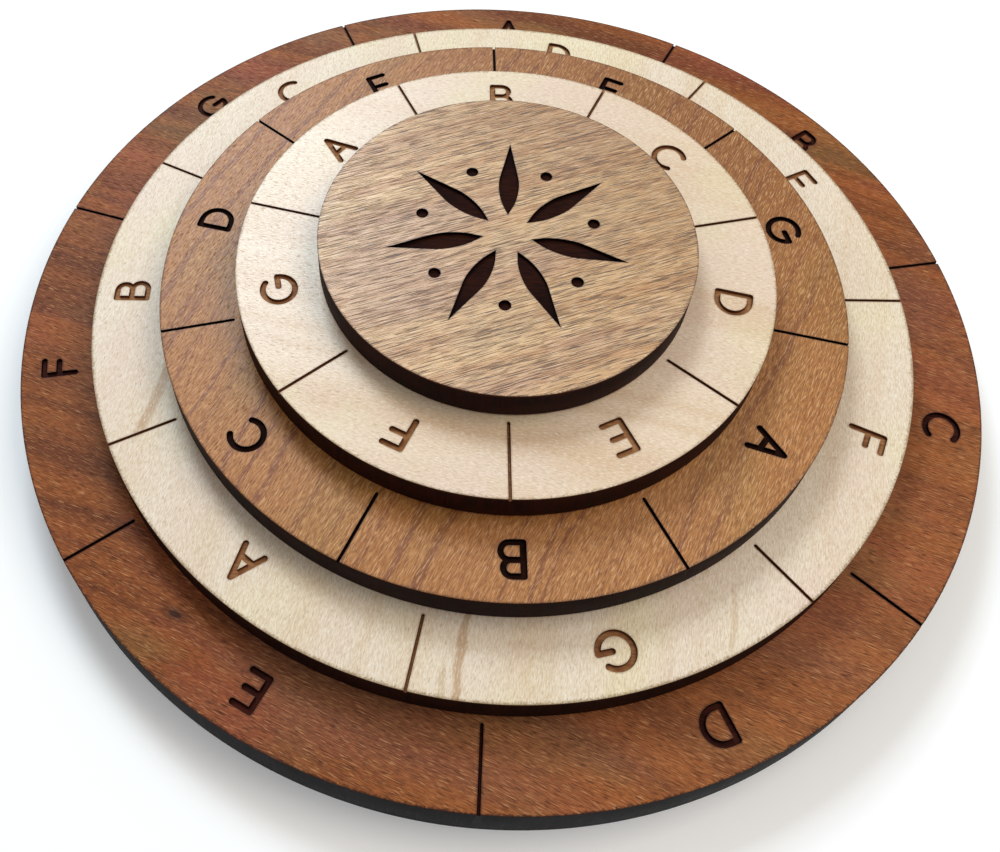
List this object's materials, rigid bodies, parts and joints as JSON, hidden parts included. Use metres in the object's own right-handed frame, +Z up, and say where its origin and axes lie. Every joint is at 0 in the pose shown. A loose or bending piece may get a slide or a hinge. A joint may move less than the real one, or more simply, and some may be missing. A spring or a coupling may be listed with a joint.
{
  "type": "flat word-wheel cryptex",
  "caption": "Flat cryptex puzzle: stacked concentric wooden discs with engraved letter rings that turn on a hidden centre post, under a plain cap.",
  "frame": {"origin": "centre line of the discs, at the underside of the base disc", "axes": "+Z up along the centre line through the cap; +Y through the first letter of the base ring"},
  "size_m": [0.15, 0.15, 0.0284],
  "materials": {
    "walnut": "oiled",
    "maple": "sanded",
    "cherry": "oiled",
    "light_walnut": "oiled",
    "birch": "sanded",
    "screw_steel": "zinc plated",
    "fibre": "matt"
  },
  "bodies": {
    "base": {"base_disc": "walnut", "hub_post": "birch", "hub_screw": "screw_steel", "cap_disc": "light_walnut", "slip_washer_outer": "fibre"},
    "outer_ring": {"outer_wheel": "maple", "slip_washer_middle": "fibre"},
    "middle_ring": {"middle_wheel": "cherry", "slip_washer_inner": "fibre"},
    "inner_ring": {"inner_wheel": "maple", "slip_washer_cap": "fibre"}
  },
  "joints": [
    {"name": "outer_wheel_spin", "type": "hinge", "parent": "base", "child": "outer_ring", "pos_m": [0, 0, 0.0107], "axis": [0, 0, 1], "continuous": true},
    {"name": "middle_wheel_spin", "type": "hinge", "parent": "base", "child": "middle_ring", "pos_m": [0, 0, 0.0158], "axis": [0, 0, 1], "continuous": true},
    {"name": "inner_wheel_spin", "type": "hinge", "parent": "base", "child": "inner_ring", "pos_m": [0, 0, 0.0209], "axis": [0, 0, 1], "continuous": true}
  ]
}
